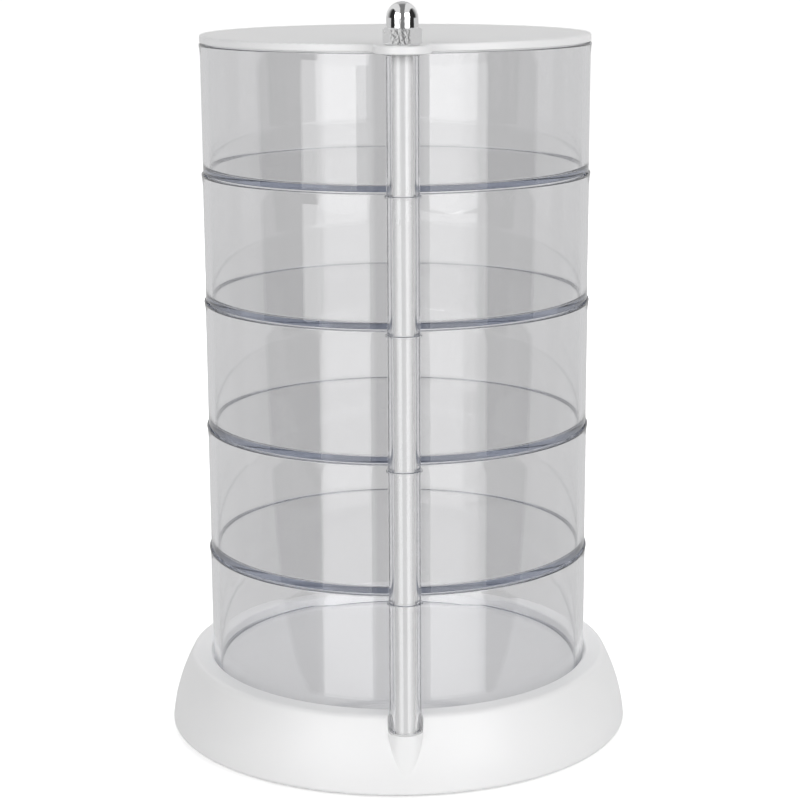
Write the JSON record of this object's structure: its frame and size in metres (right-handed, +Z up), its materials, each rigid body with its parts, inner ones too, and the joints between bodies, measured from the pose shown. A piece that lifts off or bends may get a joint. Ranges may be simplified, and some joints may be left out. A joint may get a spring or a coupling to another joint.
{
  "type": "rotating storage box",
  "caption": "Round clear trays stacked on a flared white base and swinging out round one steel rod, under a flat white lid that a cap nut holds.",
  "frame": {"origin": "on the floor under the axis of the round base, between the foot pads", "axes": "+Z up, the rod on the -Y side, +X to the right when the rod faces the viewer"},
  "size_m": [0.1222, 0.1239, 0.194],
  "materials": {
    "white_plastic": "satin",
    "clear_plastic": "clear, polished",
    "steel_rod": "ground",
    "chrome_nut": "polished",
    "screw_steel": "zinc plated",
    "pad_rubber": "matt"
  },
  "bodies": {
    "stand": {"base_shell": "white_plastic", "tray_1": "clear_plastic", "pivot_rod": "steel_rod", "acorn_nut": "chrome_nut", "base_screw": "screw_steel", "base_washer": "screw_steel", "foot_pad_1": "pad_rubber", "foot_pad_2": "pad_rubber", "foot_pad_3": "pad_rubber", "foot_pad_4": "pad_rubber"},
    "tray_2": {"tray_2": "clear_plastic"},
    "tray_3": {"tray_3": "clear_plastic"},
    "tray_4": {"tray_4": "clear_plastic"},
    "tray_5": {"tray_5": "clear_plastic"},
    "lid": {"lid": "white_plastic"}
  },
  "joints": [
    {"name": "tray_2_swing", "type": "hinge", "parent": "stand", "child": "tray_2", "pos_m": [0, -0.056, 0], "axis": [0, 0, 1], "continuous": true},
    {"name": "tray_3_swing", "type": "hinge", "parent": "stand", "child": "tray_3", "pos_m": [0, -0.056, 0], "axis": [0, 0, 1], "continuous": true},
    {"name": "tray_4_swing", "type": "hinge", "parent": "stand", "child": "tray_4", "pos_m": [0, -0.056, 0], "axis": [0, 0, 1], "continuous": true},
    {"name": "tray_5_swing", "type": "hinge", "parent": "stand", "child": "tray_5", "pos_m": [0, -0.056, 0], "axis": [0, 0, 1], "continuous": true},
    {"name": "lid_swing", "type": "hinge", "parent": "stand", "child": "lid", "pos_m": [0, -0.056, 0], "axis": [0, 0, 1], "continuous": true}
  ]
}
